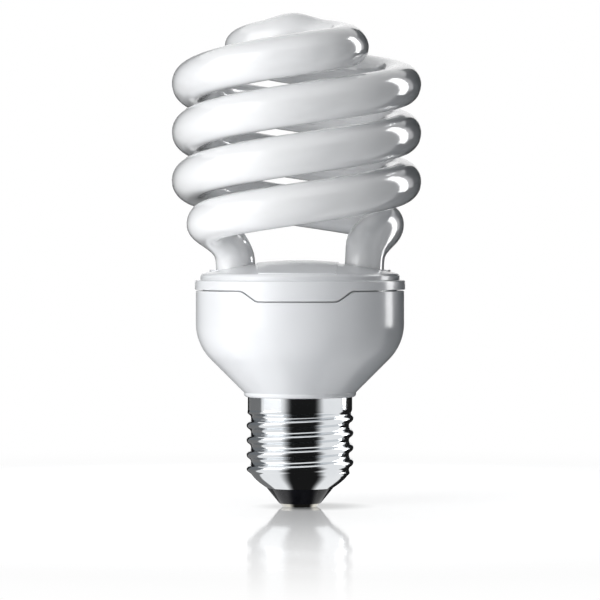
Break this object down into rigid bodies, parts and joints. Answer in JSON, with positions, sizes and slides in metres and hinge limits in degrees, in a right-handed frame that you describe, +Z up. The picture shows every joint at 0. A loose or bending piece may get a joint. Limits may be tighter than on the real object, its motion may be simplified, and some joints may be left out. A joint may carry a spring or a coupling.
{
  "type": "spiral energy saving bulb",
  "caption": "Compact fluorescent lamp with a double spiral tube, a domed two-part housing for its ballast and a screw cap.",
  "frame": {"origin": "centre of the flat of the cap's centre contact", "axes": "+Z up the axis of the cap from the contact to the spiral, -Y towards the front of the lamp, +X to the right"},
  "size_m": [0.0615, 0.0616, 0.1214],
  "materials": {
    "coated_glass": "white coated glass seen from outside as an opaque gloss",
    "white_housing": "glossy white moulded plastic",
    "nickel_shell": "bright nickel plate on rolled brass",
    "black_vitrite": "black fused glass",
    "contact_brass": "pressed brass",
    "solder": "tin solder",
    "white_cement": "white lamp cement",
    "phenolic_board": "brown paper-phenolic board",
    "black_sleeve": "shrunk sleeve",
    "grey_ferrite": "ground ferrite",
    "green_ferrite": "coated ferrite",
    "bobbin_nylon": "natural nylon",
    "copper_winding": "enamelled copper",
    "black_epoxy": "moulded epoxy",
    "red_film": "dipped film capacitor",
    "blue_ceramic": "dipped ceramic",
    "brown_ceramic": "dipped ceramic",
    "green_resistor": "lacquered resistor",
    "tan_resistor": "lacquered resistor",
    "tinned_wire": "tinned wire",
    "wire_sleeve": "silicone sleeve"
  },
  "bodies": {
    "root": {"discharge_tube": "coated_glass", "top_cover": "white_housing", "housing_cup": "white_housing", "screw_shell": "nickel_shell", "cap_insulator": "black_vitrite", "centre_contact": "contact_brass", "contact_solder": "solder", "tube_cement_left": "white_cement", "tube_cement_right": "white_cement", "circuit_board": "phenolic_board", "bulk_capacitor": "black_sleeve", "choke_core_upper": "grey_ferrite", "choke_core_lower": "grey_ferrite", "choke_bobbin": "bobbin_nylon", "choke_winding": "copper_winding", "transistor_rear": "black_epoxy", "transistor_front": "black_epoxy", "drive_ring_core": "green_ferrite", "drive_winding_1": "copper_winding", "drive_winding_2": "copper_winding", "drive_winding_3": "copper_winding", "filter_drum_core": "grey_ferrite", "filter_drum_winding": "copper_winding", "resonant_capacitor": "red_film", "coupling_capacitor": "red_film", "snubber_capacitor": "blue_ceramic", "thermistor": "brown_ceramic", "fusible_resistor": "green_resistor", "diac": "blue_ceramic", "start_resistor": "tan_resistor", "base_resistor_1": "tan_resistor", "base_resistor_2": "tan_resistor", "rectifier_diode_1": "black_epoxy", "rectifier_diode_2": "black_epoxy", "rectifier_diode_3": "black_epoxy", "rectifier_diode_4": "black_epoxy", "wrap_posts": "tinned_wire", "electrode_leads_left": "tinned_wire", "electrode_leads_right": "tinned_wire", "live_wire": "wire_sleeve", "neutral_wire": "tinned_wire"}
  },
  "joints": []
}
